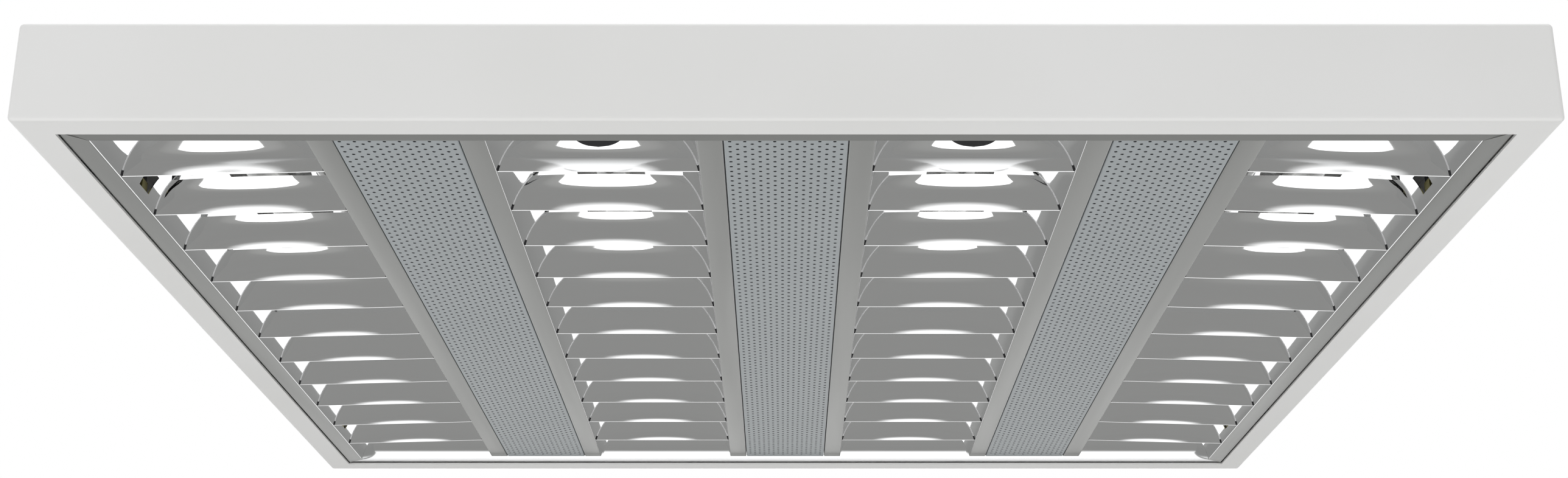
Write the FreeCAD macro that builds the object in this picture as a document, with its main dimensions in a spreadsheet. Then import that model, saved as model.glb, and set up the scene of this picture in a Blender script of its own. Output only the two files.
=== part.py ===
import FreeCAD, Part
import math
import os
import re
import Sketcher

# A square four-lamp louvre light for a 600 mm ceiling grid, in millimetres.
# X runs across the lamps, Y along them and Z up. The origin is the middle of
# the rim's underside, the face that rests on the ceiling's T-bars.

doc = FreeCAD.newDocument("Troffer")

# ---------------------------------------------------------------- sizes

SIZES = [
    # tray
    ("body_side", 597, "outside of the square tray"),
    ("body_height", 41.3, "outside height of the tray"),
    ("tray_sheet", 1.0, "steel sheet of the tray"),
    ("fold_radius", 2, "outside radius of every fold of the tray"),
    ("rim_width", 14.2, "rim folded inward under the tray"),
    ("fixing_spacing", 400, "spacing of the four fixing holes in the top"),
    ("fixing_radius", 3.25, "radius of a fixing hole"),
    ("inlet_place", 150, "cable inlet, back from the middle"),
    ("inlet_radius", 10, "radius of the inlet's hole"),
    ("grommet_bore", 4.5, "radius of the grommet's bore"),
    ("grommet_flange", 13, "radius of the grommet's flanges"),
    ("grommet_lip", 2.2, "thickness of each flange"),
    # louvre frame
    ("louvre_gap", 0.9, "gap between the louvre and the rim"),
    ("louvre_sheet", 0.5, "aluminium sheet of the louvre"),
    ("louvre_lift", 1.0, "outer strips above the rim's underside"),
    ("inner_lift", 2.2, "inner strips above the outer ones"),
    ("louvre_top", 26, "top edge of the reflectors"),
    ("end_strip_rise", 0.5, "rise of an end strip towards its outer edge"),
    ("end_strip", 8.1, "flat strip beside each end reflector"),
    ("end_lean", 8, "lean of an end reflector over its height"),
    ("end_curve", 60, "radius of an end reflector"),
    ("strip_width", 10.3, "flat strip beside each inner reflector"),
    ("edge_strip", 9.25, "flat strip beside each outer reflector"),
    ("flange_height", 5, "upturned edge of a strip or a panel"),
    ("panel_gap", 0.3, "gap at each side of a perforated panel"),
    ("seam_gap", 0.1, "gap where two louvre sheets meet"),
    # bays and cross blades
    ("bay_width", 83.9, "mouth of a bay"),
    ("bay_slot", 30, "slot over the lamp at a bay's top"),
    ("wall_curve", 30, "radius of a side reflector"),
    ("end_cell", 41.3, "from an end reflector to the middle of the nearest blade"),
    ("blade_count", 11, "cross blades in a bay"),
    ("blade_lift", 0.8, "blade's lower edge above the strips beside it"),
    ("blade_height", 14.5, "height of a blade"),
    ("blade_top", 9, "width of a blade's open top"),
    ("blade_edge", 0.6, "width of a blade's lower edge"),
    ("blade_sheet", 0.4, "sheet of a blade, across it"),
    ("blade_curve", 40, "radius of a blade's hollow faces"),
    # lamps and holders
    ("lamp_axis", 29, "lamp's axis above the rim's underside"),
    ("lamp_margin", 48, "body's side less the length of a lamp"),
    ("lamp_notch", 10, "radius of the notch for a lamp's end"),
    ("tube_radius", 8, "radius of the glass tube"),
    ("tube_wall", 0.8, "wall of the glass tube"),
    ("cap_length", 9, "length of a lamp cap"),
    ("cap_radius", 8.3, "radius of a lamp cap"),
    ("lamp_pin_radius", 1.18, "radius of a lamp pin"),
    ("lamp_pin_spacing", 4.76, "spacing of a cap's two pins"),
    ("lamp_pin_length", 6.6, "length of a lamp pin"),
    ("lamp_clearance", 0.3, "gap between a cap and its holder"),
    ("rotor_radius", 6, "radius of a holder's turning rotor"),
    ("rotor_length", 6, "length of a rotor"),
    ("rotor_clearance", 0.06, "running clearance round a rotor"),
    ("pin_clearance", 0.1, "clearance round a lamp pin"),
    ("holder_width", 17, "width of a lampholder"),
    ("holder_depth", 17.5, "depth of a lampholder along the lamp"),
    ("holder_slot", 3, "slot that the lamp pins enter by"),
    ("rail_width", 20, "width of a lampholder rail"),
    ("rail_overhang", 25, "rail beyond the outer lamps"),
    ("rail_sheet", 0.8, "steel sheet of a rail"),
    # gear
    ("ballast_width", 30, "width of a ballast"),
    ("ballast_length", 360, "length of a ballast's case"),
    ("ballast_height", 20.5, "height of a ballast"),
    ("ballast_ear", 14, "length of a ballast's fixing ear"),
    ("ear_sheet", 1, "thickness of a fixing ear"),
    ("ear_hole", 2.4, "radius of the hole in an ear"),
    ("stud_radius", 2, "radius of a weld stud"),
    ("stud_length", 6.5, "length of a weld stud"),
    ("nut_width", 7, "nut across its flats"),
    ("nut_height", 3.2, "height of a nut"),
    ("earth_place", 45, "earth stud beside the terminal block"),
    ("terminal_place", 108, "terminal block, back from the middle"),
    ("terminal_width", 52, "width of the terminal block"),
    ("terminal_depth", 20, "depth of the terminal block"),
    ("terminal_height", 15, "height of the terminal block"),
    ("terminal_pitch", 10, "spacing of the terminal screws"),
    ("screw_radius", 2, "radius of a terminal screw"),
    ("wire_radius", 1.25, "radius of an insulated wire"),
    ("wire_drop", 6, "lamp wires below the tray's top"),
    ("mains_drop", 1.5, "mains wires below the tray's top, over the lamps"),
    ("lamp_wire_offset", 6, "lamp wires from a ballast's middle"),
    # hinges on the left, catches on the right
    ("catch_inset", 67.3, "hinges and catches from the end reflectors"),
    ("window_width", 13, "window in the reflector beside a catch"),
    ("window_height", 7.5, "height of that window"),
    ("window_lift", 6, "window's lower edge above the rim's underside"),
    ("hinge_inset", 5.4, "hinge pin from the louvre's left edge"),
    ("hinge_rise", 2.8, "hinge pin above the louvre's underside"),
    ("hinge_pin_radius", 1, "radius of a hinge pin"),
    ("hinge_pin_length", 6.4, "length of a hinge pin"),
    ("hinge_clearance", 0.05, "running clearance of a hinge pin"),
    ("eye_radius", 1.9, "outside radius of a hinge eye"),
    ("arm_thickness", 2.5, "thickness of a hinge arm"),
    ("arm_low", 12, "underside of a hinge arm"),
    ("arm_high", 21, "top of a hinge arm"),
    ("ear_radius", 2.2, "outside radius of a louvre ear"),
    ("louvre_ear_sheet", 0.8, "thickness of a louvre ear"),
    ("ear_gap", 0.3, "gap between an ear and the hinge arm"),
    ("ear_foot", 6, "foot of a louvre ear on the strip"),
    ("plate_sheet", 1, "bracket plate on the tray's wall"),
    ("plate_width", 20, "width of a bracket plate"),
    ("plate_low", 10, "lower edge of a bracket plate"),
    ("plate_high", 25, "upper edge of a bracket plate"),
    ("rivet_radius", 1.8, "radius of a rivet head"),
    ("rivet_head", 0.9, "height of a rivet head"),
    ("rivet_spacing", 13, "spacing of a plate's two rivets"),
    ("leaf_sheet", 0.6, "spring sheet of a catch, across it"),
    ("leaf_width", 12, "width of a catch"),
    ("leaf_inset", 1.4, "catch leaf from the louvre's right edge"),
    ("leaf_foot_rise", 0.8, "upturned edge of a catch's foot"),
    ("leaf_foot_length", 6.2, "foot of a catch on the strip"),
    ("leaf_gap", 0.2, "gap between the leaf and its foot"),
    ("nose_low", 11, "start of the catch's nose"),
    ("nose_place", 13.5, "tip of the catch's nose"),
    ("nose_high", 16.5, "end of the catch's nose"),
    ("nose_reach", 4, "nose beyond the leaf"),
    ("leaf_top", 20, "top of the catch's leaf"),
    ("leaf_tail", 1, "lean of the leaf's tail"),
    ("ledge_height", 12.2, "top of the ledge under the nose"),
    ("ledge_sheet", 1, "thickness of the ledge"),
    ("ledge_clear", 1.1, "ledge's edge beyond the louvre"),
]

# Places worked out from the sizes, as expressions.
PLACES = {
    "inside": "body_side / 2 - tray_sheet",
    "opening": "body_side / 2 - rim_width",
    "ceiling": "body_height - tray_sheet",
    "louvre_edge": "opening - louvre_gap",
    "end_place": "louvre_edge - end_strip",
    "bay_edge": "louvre_edge - edge_strip",
    "lamp_pitch": "(2 * bay_edge - bay_width) / 3",
    "catch_place": "end_place - catch_inset",
    "blade_pitch": "2 * (end_place - end_cell) / (blade_count - 1)",
    "strip_top": "louvre_lift + louvre_sheet",
    "inner_base": "louvre_lift + inner_lift",
    "wall_reach": "(bay_width - bay_slot) / 2",
    "panel_width": "lamp_pitch - bay_width - 2 * strip_width - 2 * panel_gap",
    "lamp_length": "body_side - lamp_margin",
    "holder_face": "lamp_length / 2 + lamp_clearance",
    "hinge_x": "hinge_inset - louvre_edge",
    "hinge_z": "louvre_lift + hinge_rise",
    "leaf_x": "louvre_edge - leaf_inset - leaf_sheet",
    "stud_place": "ballast_length / 2 + ballast_ear / 2",
    "ear_place": "arm_thickness / 2 + ear_gap",
}

ALIASES = [alias for alias, size, meaning in SIZES]

sheet = doc.addObject("Spreadsheet::Sheet", "Sizes")
for line, (alias, size, meaning) in enumerate(SIZES, start=1):
    sheet.set("A%d" % line, meaning)
    sheet.set("B%d" % line, str(size))
    sheet.setAlias("B%d" % line, alias)
doc.recompute()


def bound(text):
    """An expression over the sheet, with every place written out in sizes."""
    def spell(word):
        name = word.group()
        if name in PLACES:
            return "(" + bound(PLACES[name]) + ")"
        return "Sizes." + name if name in ALIASES else name
    return re.sub(r"[a-z_]+", spell, text)


def value(text):
    """What an expression over the sheet comes to now."""
    return float(sheet.evalExpression(bound(text)))


# ---------------------------------------------------------------- drawing

def new_body(label):
    body = doc.addObject("PartDesign::Body", label)
    body.Label = label
    return body


def origin_part(body, role):
    return [part for part in body.Origin.OriginFeatures if part.Role == role][0]


def sketch(body, name, plane, lift="0"):
    """An empty sketch on one of the body's own planes, moved along its normal."""
    drawn = body.newObject("Sketcher::SketchObject", body.Name + "_" + name)
    drawn.AttachmentSupport = [(origin_part(body, plane), "")]
    drawn.MapMode = "FlatFace"
    drawn.setExpression("AttachmentOffset.Base.z", bound(lift))
    return drawn


def across(body, name, place="0"):
    """A sketch in X and Z, at a place along Y: that plane's normal is -Y."""
    return sketch(body, name, "XZ_Plane", "-(%s)" % place)


def hold(drawn, kind, edge, point, text):
    size = value(text)
    if kind == "Radius":
        number = drawn.addConstraint(Sketcher.Constraint(kind, edge, size))
    else:
        number = drawn.addConstraint(Sketcher.Constraint(kind, -1, 1, edge, point, size))
    drawn.setExpression("Constraints[%d]" % number, bound(text))


def arc_between(start, finish, radius, side):
    """The shorter arc through two points. Side 1 has its centre on the left."""
    chord = finish - start
    half = chord.Length / 2
    inward = FreeCAD.Vector(-chord.y, chord.x, 0).normalize() * side
    centre = (start + finish) * 0.5 + inward * math.sqrt(radius ** 2 - half ** 2)
    first, last = (start, finish) if side > 0 else (finish, start)
    angles = [math.atan2(point.y - centre.y, point.x - centre.x) for point in (first, last)]
    circle = Part.Circle(centre, FreeCAD.Vector(0, 0, 1), radius)
    return Part.ArcOfCircle(circle, angles[0], angles[1])


def outline(drawn, corners, arcs=None):
    """A closed outline. Arcs gives, for the stretch after a corner, radius and side."""
    arcs = arcs or {}
    points = [FreeCAD.Vector(value(a), value(b), 0) for a, b in corners]
    stretches = []
    for index, start in enumerate(points):
        finish = points[(index + 1) % len(points)]
        if index in arcs:
            radius, side = arcs[index]
            edge = drawn.addGeometry(arc_between(start, finish, value(radius), side))
            hold(drawn, "Radius", edge, None, radius)
            stretches.append((edge, 1, 2) if side > 0 else (edge, 2, 1))
        else:
            stretches.append((drawn.addGeometry(Part.LineSegment(start, finish)), 1, 2))
    for index, (edge, first, last) in enumerate(stretches):
        follower = stretches[(index + 1) % len(stretches)]
        joint = Sketcher.Constraint("Coincident", edge, last, follower[0], follower[1])
        drawn.addConstraint(joint)
        hold(drawn, "DistanceX", edge, first, corners[index][0])
        hold(drawn, "DistanceY", edge, first, corners[index][1])


def rectangle(drawn, low, high):
    outline(drawn, [(low[0], low[1]), (high[0], low[1]), (high[0], high[1]), (low[0], high[1])])


def centred(drawn, a, b, width, depth):
    """A rectangle round a point."""
    low = ("%s - (%s) / 2" % (a, width), "%s - (%s) / 2" % (b, depth))
    high = ("%s + (%s) / 2" % (a, width), "%s + (%s) / 2" % (b, depth))
    rectangle(drawn, low, high)


def circle(drawn, a, b, radius):
    centre = FreeCAD.Vector(value(a), value(b), 0)
    normal = FreeCAD.Vector(0, 0, 1)
    edge = drawn.addGeometry(Part.Circle(centre, normal, value(radius)))
    hold(drawn, "Radius", edge, None, radius)
    hold(drawn, "DistanceX", edge, 3, a)
    hold(drawn, "DistanceY", edge, 3, b)


def extrude(kind, body, drawn, length, symmetric, backward):
    """Pads go along the sketch's normal and pockets against it, unless backward."""
    feature = body.newObject("PartDesign::" + kind, drawn.Name + "_" + kind.lower())
    feature.Profile = drawn
    feature.setExpression("Length", bound(length))
    feature.SideType = "Symmetric" if symmetric else "One side"
    feature.Reversed = backward
    return feature


def pad(body, drawn, length, symmetric=False, backward=False):
    return extrude("Pad", body, drawn, length, symmetric, backward)


def pocket(body, drawn, length, symmetric=False, backward=False):
    return extrude("Pocket", body, drawn, length, symmetric, backward)


def row(body, features, role, length, count):
    """The features repeated in a line along one of the body's own axes."""
    repeated = body.newObject("PartDesign::LinearPattern", body.Name + "_row")
    repeated.Originals = features
    repeated.Direction = (origin_part(body, role), [""])
    repeated.setExpression("Length", bound(length))
    repeated.setExpression("Occurrences", bound(count))
    body.Tip = repeated
    return repeated


def fillet(body, base, names, radius):
    rounded = body.newObject("PartDesign::Fillet", base.Name + "_fillet")
    rounded.Base = (base, names)
    rounded.setExpression("Radius", bound(radius))
    return rounded


# ---------------------------------------------------------------- housing

ENDS = (("near", -1), ("far", 1))
LAMPS = (1, 2, 3, 4)


def bay_centre(number):
    """Bay 1 is the leftmost."""
    return "(%g * lamp_pitch)" % (number - 2.5)


def make_tray():
    body = new_body("tray")
    outside = sketch(body, "outside", "XY_Plane")
    centred(outside, "0", "0", "body_side", "body_side")
    block = pad(body, outside, "body_height")
    doc.recompute()
    names = ["Edge%d" % (index + 1) for index in range(len(block.Shape.Edges))]
    fillet(body, block, names, "fold_radius")
    hollow = sketch(body, "hollow", "XY_Plane", "tray_sheet")
    centred(hollow, "0", "0", "2 * inside", "2 * inside")
    pocket(body, hollow, "ceiling - tray_sheet", backward=True)
    mouth = sketch(body, "mouth", "XY_Plane")
    centred(mouth, "0", "0", "2 * opening", "2 * opening")
    pocket(body, mouth, "2 * tray_sheet", backward=True)
    holes = sketch(body, "holes", "XY_Plane", "ceiling - tray_sheet")
    for a in (-1, 1):
        for b in (-1, 1):
            circle(holes, "%d * fixing_spacing / 2" % a, "%d * fixing_spacing / 2" % b, "fixing_radius")
    circle(holes, "0", "inlet_place", "inlet_radius")
    pocket(body, holes, "3 * tray_sheet", backward=True)


def make_grommet():
    body = new_body("cable_grommet")
    profile = sketch(body, "profile", "XZ_Plane")
    low = "ceiling - grommet_lip"
    high = "body_height + grommet_lip"
    groove = "inlet_radius - seam_gap / 2"
    outline(profile, [("grommet_bore", low), ("grommet_flange", low), ("grommet_flange", "ceiling"),
                      (groove, "ceiling"), (groove, "body_height"), ("grommet_flange", "body_height"),
                      ("grommet_flange - 2", high), ("grommet_bore", high)])
    turned = body.newObject("PartDesign::Revolution", "grommet_turned")
    turned.Profile = profile
    turned.ReferenceAxis = (origin_part(body, "Z_Axis"), [""])
    turned.Angle = 360
    body.setExpression("Placement.Base.y", bound("inlet_place"))


def terminal_places():
    return ["%d * terminal_pitch" % step for step in (-2, -1, 0, 1, 2)]


def make_terminal_block():
    body = new_body("terminal_block")
    base = sketch(body, "base", "XY_Plane", "ceiling")
    centred(base, "0", "0", "terminal_width", "terminal_depth")
    pad(body, base, "terminal_height", backward=True)
    holes = sketch(body, "holes", "XY_Plane", "ceiling - terminal_height")
    for place in terminal_places():
        circle(holes, place, "0", "screw_radius + seam_gap")
    pocket(body, holes, "terminal_height / 2", backward=True)
    body.setExpression("Placement.Base.y", bound("terminal_place"))
    screws = new_body("terminal_screws")
    heads = sketch(screws, "heads", "XY_Plane", "ceiling - terminal_height + 1")
    for place in terminal_places():
        circle(heads, place, "0", "screw_radius")
    pad(screws, heads, "terminal_height / 2 - 1")
    slots = sketch(screws, "slots", "XY_Plane", "ceiling - terminal_height + 1")
    centred(slots, "0", "0", "terminal_width", "0.6")
    pocket(screws, slots, "0.8", backward=True)
    screws.setExpression("Placement.Base.y", bound("terminal_place"))


def make_ballast(name, lamp_gap):
    """A slim gear case between two lamps, with a fixing ear at each end."""
    body = new_body(name)
    case = sketch(body, "case", "XY_Plane", "ceiling")
    centred(case, "0", "0", "ballast_width", "ballast_length")
    block = pad(body, case, "ballast_height", backward=True)
    doc.recompute()
    low = value("ceiling - ballast_height") + 1e-6
    names = ["Edge%d" % (index + 1) for index, edge in enumerate(block.Shape.Edges)
             if edge.BoundBox.ZMax < low]
    fillet(body, block, names, "ear_sheet")
    ears = sketch(body, "ears", "XY_Plane", "ceiling")
    centred(ears, "0", "0", "ballast_width", "ballast_length + 2 * ballast_ear")
    pad(body, ears, "ear_sheet", backward=True)
    holes = sketch(body, "holes", "XY_Plane", "ceiling")
    for end, side in ENDS:
        circle(holes, "0", "%d * stud_place" % side, "ear_hole")
    pocket(body, holes, "2 * ear_sheet")
    body.setExpression("Placement.Base.x", bound("%d * lamp_pitch" % lamp_gap))


def stud_places():
    """Two studs for each ballast, and one for the earth."""
    ears = [("%d * lamp_pitch" % a, "%d * stud_place" % b) for a in (-1, 1) for b in (-1, 1)]
    return ears + [("earth_place", "terminal_place - terminal_depth")]


def make_studs():
    body = new_body("weld_studs")
    shanks = sketch(body, "shanks", "XY_Plane", "ceiling")
    nuts = new_body("stud_nuts")
    faces = sketch(nuts, "faces", "XY_Plane", "ceiling - ear_sheet")
    bores = sketch(nuts, "bores", "XY_Plane", "ceiling - ear_sheet")
    for a, b in stud_places():
        circle(shanks, a, b, "stud_radius")
        ring = [("%s + nut_width / sqrt(3) * cos(%d deg)" % (a, 60 * step),
                 "%s + nut_width / sqrt(3) * sin(%d deg)" % (b, 60 * step)) for step in range(6)]
        outline(faces, ring)
        circle(bores, a, b, "stud_radius + seam_gap / 2")
    pad(body, shanks, "stud_length", backward=True)
    pad(nuts, faces, "nut_height", backward=True)
    pocket(nuts, bores, "2 * nut_height")


def make_rail(end, side):
    """A steel strip under the tray's top that carries one end's lampholders."""
    body = new_body("holder_rail_" + end)
    strip = sketch(body, "strip", "XY_Plane", "ceiling")
    place = "%d * (holder_face + holder_depth / 2)" % side
    centred(strip, "0", place, "3 * lamp_pitch + 2 * rail_overhang", "rail_width")
    pad(body, strip, "rail_sheet", backward=True)


def make_holders(end, side):
    """Four lampholders, each with a round seat for its rotor and a slot for the pins."""
    body = new_body("lampholders_" + end)
    face = "%d * holder_face" % side
    top = "ceiling - rail_sheet"
    shell = across(body, "shell", face)
    seat = across(body, "seat", face)
    slot = across(body, "slot", face)
    for lamp in LAMPS:
        x = bay_centre(lamp)
        left = x + " - holder_width / 2"
        right = x + " + holder_width / 2"
        shoulder = "lamp_axis - holder_width / 4"
        outline(shell, [(left, top), (left, shoulder),
                        (x + " - holder_width / 4", "lamp_axis - holder_width / 2"),
                        (x + " + holder_width / 4", "lamp_axis - holder_width / 2"),
                        (right, shoulder), (right, top)])
        circle(seat, x, "lamp_axis", "rotor_radius + rotor_clearance")
        rectangle(slot, (x + " - holder_slot / 2", "lamp_axis - holder_width"),
                  (x + " + holder_slot / 2", "lamp_axis"))
    outward = side > 0
    pad(body, shell, "holder_depth", backward=outward)
    pocket(body, seat, "rotor_length + 1.5", backward=not outward)
    pocket(body, slot, "rotor_length + 1.5", backward=not outward)


# ---------------------------------------------------------------- lamps

def on_lamp_axis(label, lamp):
    body = new_body(label)
    body.setExpression("Placement.Base.x", bound(bay_centre(lamp)))
    body.setExpression("Placement.Base.z", bound("lamp_axis"))
    return body


def make_lamp(lamp):
    """A fluorescent tube, its caps and pins, and the rotors that turn with it."""
    tube = on_lamp_axis("lamp_tube_%d" % lamp, lamp)
    glass = across(tube, "glass")
    circle(glass, "0", "0", "tube_radius")
    circle(glass, "0", "0", "tube_radius - tube_wall")
    pad(tube, glass, "lamp_length - 2 * cap_length", symmetric=True)
    caps = on_lamp_axis("lamp_caps_%d" % lamp, lamp)
    pins = on_lamp_axis("lamp_pins_%d" % lamp, lamp)
    rotors = on_lamp_axis("holder_rotors_%d" % lamp, lamp)
    for end, side in ENDS:
        outward = side > 0
        cap = across(caps, "cap_" + end, "%d * lamp_length / 2" % side)
        circle(cap, "0", "0", "cap_radius")
        pad(caps, cap, "cap_length", backward=not outward)
        pair = across(pins, "pair_" + end, "%d * lamp_length / 2" % side)
        rotor = across(rotors, "rotor_" + end, "%d * (lamp_length / 2 + lamp_clearance)" % side)
        circle(rotor, "0", "0", "rotor_radius")
        for hand in (-1, 1):
            place = "%d * lamp_pin_spacing / 2" % hand
            circle(pair, place, "0", "lamp_pin_radius")
            circle(rotor, place, "0", "lamp_pin_radius + pin_clearance")
        pad(pins, pair, "lamp_pin_length", backward=outward)
        pad(rotors, rotor, "rotor_length", backward=outward)


# ---------------------------------------------------------------- louvre

def end_face(place):
    """The end reflector's inner face, at a place off it, as corners from low to high."""
    return [("end_place + (%s)" % place, "louvre_lift"),
            ("end_place - end_lean + (%s)" % place, "louvre_top")]


def mirrored(corners, side):
    return [("%d * (%s)" % (side, a), b) for a, b in corners]


def cut_to_ends(body):
    """Cuts a long piece off where it meets the leaning end reflectors."""
    beyond = sketch(body, "beyond", "YZ_Plane")
    for end, side in ENDS:
        low, high = end_face("-seam_gap")
        region = [("end_place - seam_gap", "-louvre_top"), low, high,
                  (high[0], "2 * louvre_top"), ("body_side", "2 * louvre_top"),
                  ("body_side", "-louvre_top")]
        outline(beyond, mirrored(region, side), {1: ("end_curve", side)})
    pocket(body, beyond, "2 * bay_edge", symmetric=True)


def wall_face(edge, hand, base, place):
    """A side reflector's inner face from low to high, at a place off it into the bay."""
    return [("%s + %d * (%s)" % (edge, hand, place), base),
            ("%s + %d * (wall_reach + %s)" % (edge, hand, place), "louvre_top")]


def bay_walls(bay):
    """For each wall of a bay: its name, edge, hand towards the bay, and base."""
    for name, hand in (("left", 1), ("right", -1)):
        edge = "(%s - %d * bay_width / 2)" % (bay_centre(bay), hand)
        outer = (bay, hand) in ((1, 1), (4, -1))
        yield name, edge, hand, outer


def make_side_reflector(bay, name, edge, hand, outer):
    """One bent sheet: the reflector, the flat strip beside it and the strip's edge."""
    body = new_body("side_reflector_%d_%s" % (bay, name))
    base = "louvre_lift" if outer else "inner_base"
    width = "edge_strip" if outer else "strip_width"
    low, high = wall_face(edge, hand, base, "0")
    back = "%s - %d * louvre_sheet" % (edge, hand)
    far = "%s - %d * %s" % (edge, hand, width)
    inner = "%s - %d * (%s - louvre_sheet)" % (edge, hand, width)
    top = base + " + louvre_sheet"
    corners = [low, high, (high[0], "louvre_top + louvre_sheet"), (back, top)]
    if outer:
        corners += [(far, top), (far, base)]
    else:
        lip = base + " + flange_height"
        corners += [(inner, top), (inner, lip), (far, lip), (far, base)]
    profile = across(body, "profile")
    arcs = {0: ("wall_curve", -hand), 2: ("wall_curve + louvre_sheet", hand)}
    outline(profile, corners, arcs)
    pad(body, profile, "2 * louvre_edge", symmetric=True)
    cut_to_ends(body)
    if outer:
        mitre_side(body, hand)
        cut_windows(body, hand)


def mitre_side(body, hand):
    """The outer strip's ends, cut to the frame's corners."""
    corners = sketch(body, "mitres", "XY_Plane")
    for end, side in ENDS:
        outline(corners, [("%d * bay_edge" % -hand, "%d * end_place" % side),
                          ("%d * louvre_edge" % -hand, "%d * louvre_edge" % side),
                          ("%d * louvre_edge" % -hand, "%d * body_side" % side),
                          ("%d * bay_edge" % -hand, "%d * body_side" % side)])
    pocket(body, corners, "2 * louvre_top", backward=True)


def cut_windows(body, hand):
    """The windows that show the hinges and catches through the reflector."""
    windows = sketch(body, "windows", "YZ_Plane")
    for end, side in ENDS:
        centred(windows, "%d * catch_place" % side, "window_lift + window_height / 2",
                "window_width", "window_height")
    pocket(body, windows, "body_side", backward=hand < 0)


def make_end_frame(end, side):
    """The strip across one end, its reflector and the notches for the lamps."""
    body = new_body("louvre_end_" + end)
    low, high = end_face("0")
    rise = "end_strip_rise"
    section = [low, high, (high[0] + " + louvre_sheet", "louvre_top"),
               ("end_place + louvre_sheet", "strip_top"),
               ("louvre_edge", "strip_top + " + rise), ("louvre_edge", "louvre_lift + " + rise)]
    profile = sketch(body, "profile", "YZ_Plane")
    arcs = {0: ("end_curve", side), 2: ("end_curve + louvre_sheet", -side)}
    outline(profile, mirrored(section, side), arcs)
    pad(body, profile, "2 * louvre_edge", symmetric=True)
    corners = sketch(body, "mitres", "XY_Plane")
    for hand in (-1, 1):
        outline(corners, [("%d * bay_edge" % hand, "%d * end_place" % side),
                          ("%d * louvre_edge" % hand, "%d * louvre_edge" % side),
                          ("%d * body_side" % hand, "%d * louvre_edge" % side),
                          ("%d * body_side" % hand, "%d * (end_place - 2 * end_lean)" % side),
                          ("%d * bay_edge" % hand, "%d * (end_place - 2 * end_lean)" % side)])
    pocket(body, corners, "2 * louvre_top", backward=True)
    notches = across(body, "notches", "%d * end_place" % side)
    for lamp in LAMPS:
        circle(notches, bay_centre(lamp), "lamp_axis", "lamp_notch")
    pocket(body, notches, "4 * end_lean", symmetric=True)


def make_panel(name, gap):
    """A shallow channel between two inner strips."""
    body = new_body("panel_" + name)
    centre = "%d * lamp_pitch" % gap
    left = centre + " - panel_width / 2"
    right = centre + " + panel_width / 2"
    lip = "inner_base + flange_height"
    floor = "inner_base + louvre_sheet"
    profile = across(body, "profile")
    outline(profile, [(left, "inner_base"), (right, "inner_base"), (right, lip),
                      (right + " - louvre_sheet", lip), (right + " - louvre_sheet", floor),
                      (left + " + louvre_sheet", floor), (left + " + louvre_sheet", lip),
                      (left, lip)])
    pad(body, profile, "2 * end_place", symmetric=True)
    cut_to_ends(body)


def make_blades(bay):
    """Folded cross blades, hollow from above, trimmed to the bay's walls."""
    body = new_body("cross_blades_%d" % bay)
    walls = list(bay_walls(bay))
    left, right = [wall[1] for wall in walls]
    bases = ["louvre_lift" if wall[3] else "inner_base" for wall in walls]
    start = left + " - strip_width"
    first = "-(blade_count - 1) / 2 * blade_pitch"
    slope = "((%s) - (%s)) / bay_width" % (bases[1], bases[0])
    foot = "%s + blade_lift - strip_width * (%s)" % (bases[0], slope)
    crest = foot + " + blade_height"
    section = [(first + " - blade_top / 2", crest), (first + " - blade_edge / 2", foot),
               (first + " + blade_edge / 2", foot), (first + " + blade_top / 2", crest),
               (first + " + blade_top / 2 - blade_sheet", crest),
               (first, foot + " + blade_edge"),
               (first + " - blade_top / 2 + blade_sheet", crest)]
    profile = sketch(body, "profile", "YZ_Plane", start)
    inner = "blade_curve + blade_sheet"
    arcs = {0: ("blade_curve", -1), 2: ("blade_curve", -1), 4: (inner, 1), 5: (inner, 1)}
    outline(profile, section, arcs)
    blade = pad(body, profile, "bay_width + 2 * strip_width")
    blade.UseCustomVector = True
    run = "bay_width + 2 * strip_width"
    blade.Direction = FreeCAD.Vector(value(run), 0, value("(%s) * (%s)" % (slope, run)))
    blade.AlongSketchNormal = True
    row(body, [blade], "Y_Axis", "(blade_count - 1) * blade_pitch", "blade_count")
    trim = across(body, "trim")
    for (name, edge, hand, outer), base in zip(walls, bases):
        low, high = wall_face(edge, hand, base, "seam_gap")
        beyond = "%s - %d * 2 * strip_width" % (edge, hand)
        outline(trim, [(beyond, "-louvre_top"), (low[0], "-louvre_top"), low, high,
                       (high[0], "2 * louvre_top"), (beyond, "2 * louvre_top")],
                {2: ("wall_curve", -hand)})
    pocket(body, trim, "body_side", symmetric=True)


# ---------------------------------------------------------------- hinges and catches

def both_places(body, features):
    """The features made at the near place and repeated at the far one."""
    row(body, features, "Y_Axis", "2 * catch_place", "2")


def make_plate(body, hand):
    """A bracket's plate on the tray's wall, at the near place."""
    face = across(body, "plate", "-catch_place")
    wall = "%d * inside" % hand
    rectangle(face, (wall, "plate_low"), (wall + " - %d * plate_sheet" % hand, "plate_high"))
    return pad(body, face, "plate_width", symmetric=True)


def make_hinge_brackets():
    body = new_body("hinge_brackets")
    plate = make_plate(body, -1)
    arm = across(body, "arm", "-catch_place")
    outline(arm, [("-inside", "arm_low"), ("hinge_x - eye_radius", "arm_low"),
                  ("hinge_x - eye_radius", "hinge_z"), ("hinge_x + eye_radius", "hinge_z"),
                  ("hinge_x + eye_radius", "arm_high"), ("-inside", "arm_high")])
    eye = across(body, "eye", "-catch_place")
    circle(eye, "hinge_x", "hinge_z", "eye_radius")
    bore = across(body, "bore", "-catch_place")
    circle(bore, "hinge_x", "hinge_z", "hinge_pin_radius + hinge_clearance")
    features = [plate, pad(body, arm, "arm_thickness", symmetric=True),
                pad(body, eye, "arm_thickness", symmetric=True),
                pocket(body, bore, "2 * arm_thickness", symmetric=True)]
    both_places(body, features)


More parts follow.
